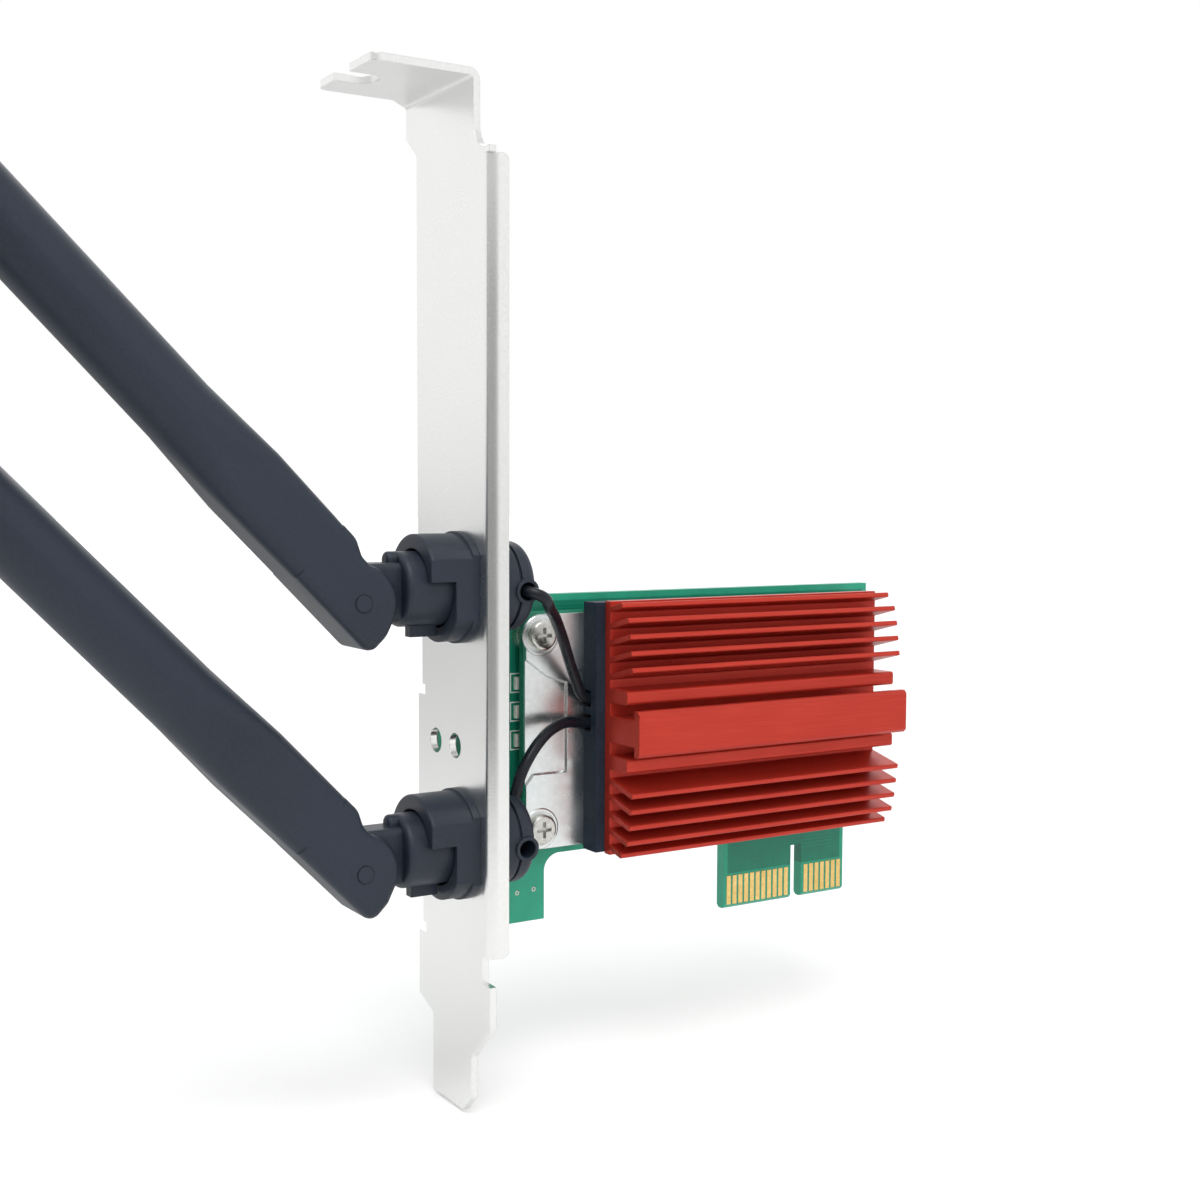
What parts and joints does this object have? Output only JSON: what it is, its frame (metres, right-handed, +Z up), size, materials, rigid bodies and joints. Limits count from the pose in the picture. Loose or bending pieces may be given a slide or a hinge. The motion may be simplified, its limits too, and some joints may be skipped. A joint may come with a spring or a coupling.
{
  "type": "wireless network card",
  "caption": "Computer expansion card with a full-height steel bracket, a green board, a red finned heat sink over its radio module, and swivelling antennas hinged outside the bracket.",
  "frame": {"origin": "bottom of the bracket's tongue, on the bracket's outer face, midway across the bracket's width", "axes": "+X into the computer case along the board, -X out of the case along the antennas; +Y across the bracket towards the board; +Z up the bracket towards its screw tab"},
  "size_m": [0.1593, 0.0213, 0.1399],
  "materials": {
    "bracket_steel": "satin nickel plate",
    "screw_steel": "plated",
    "board_green": "satin solder mask",
    "contact_gold": "polished gold plate",
    "lamp_white": "gloss",
    "socket_black": "matte",
    "spreader_silver": "bright",
    "chip_black": "matte",
    "pad_black": "matte",
    "sink_red": "satin red anodised",
    "plug_brass": "bright",
    "lead_black": "satin",
    "antenna_black": "matte"
  },
  "bodies": {
    "card": {"bracket": "bracket_steel", "circuit_board": "board_green", "edge_contacts": "contact_gold", "indicator_lamps": "lamp_white", "board_screws": "screw_steel", "module_standoffs": "screw_steel", "module_board": "board_green", "module_socket": "socket_black", "heat_spreader": "spreader_silver", "radio_chip": "chip_black", "module_screws": "screw_steel", "gap_pad": "pad_black", "heat_sink": "sink_red", "coax_receptacles": "plug_brass", "upper_plug": "plug_brass", "lower_plug": "plug_brass", "upper_lead": "lead_black", "lower_lead": "lead_black", "upper_antenna_base": "antenna_black", "lower_antenna_base": "antenna_black", "upper_retaining_cap": "antenna_black", "lower_retaining_cap": "antenna_black"},
    "upper_turntable": {"upper_swivel_barrel": "antenna_black"},
    "upper_arm": {"upper_hinge_pin": "antenna_black", "upper_sleeve": "antenna_black", "upper_radiator": "plug_brass"},
    "lower_turntable": {"lower_swivel_barrel": "antenna_black"},
    "lower_arm": {"lower_hinge_pin": "antenna_black", "lower_sleeve": "antenna_black", "lower_radiator": "plug_brass"}
  },
  "joints": [
    {"name": "upper_swivel", "type": "hinge", "parent": "card", "child": "upper_turntable", "pos_m": [0, -0.0018, 0.0618], "axis": [1, 0, 0], "range_deg": [-90, 90]},
    {"name": "upper_tilt", "type": "hinge", "parent": "upper_turntable", "child": "upper_arm", "pos_m": [-0.0137, -0.0018, 0.06055], "axis": [0, 1, 0], "range_deg": [-4, 40]},
    {"name": "lower_swivel", "type": "hinge", "parent": "card", "child": "lower_turntable", "pos_m": [0, -0.0018, 0.0318], "axis": [1, 0, 0], "range_deg": [-90, 90]},
    {"name": "lower_tilt", "type": "hinge", "parent": "lower_turntable", "child": "lower_arm", "pos_m": [-0.0137, -0.0018, 0.03055], "axis": [0, 1, 0], "range_deg": [-46, 3]}
  ]
}
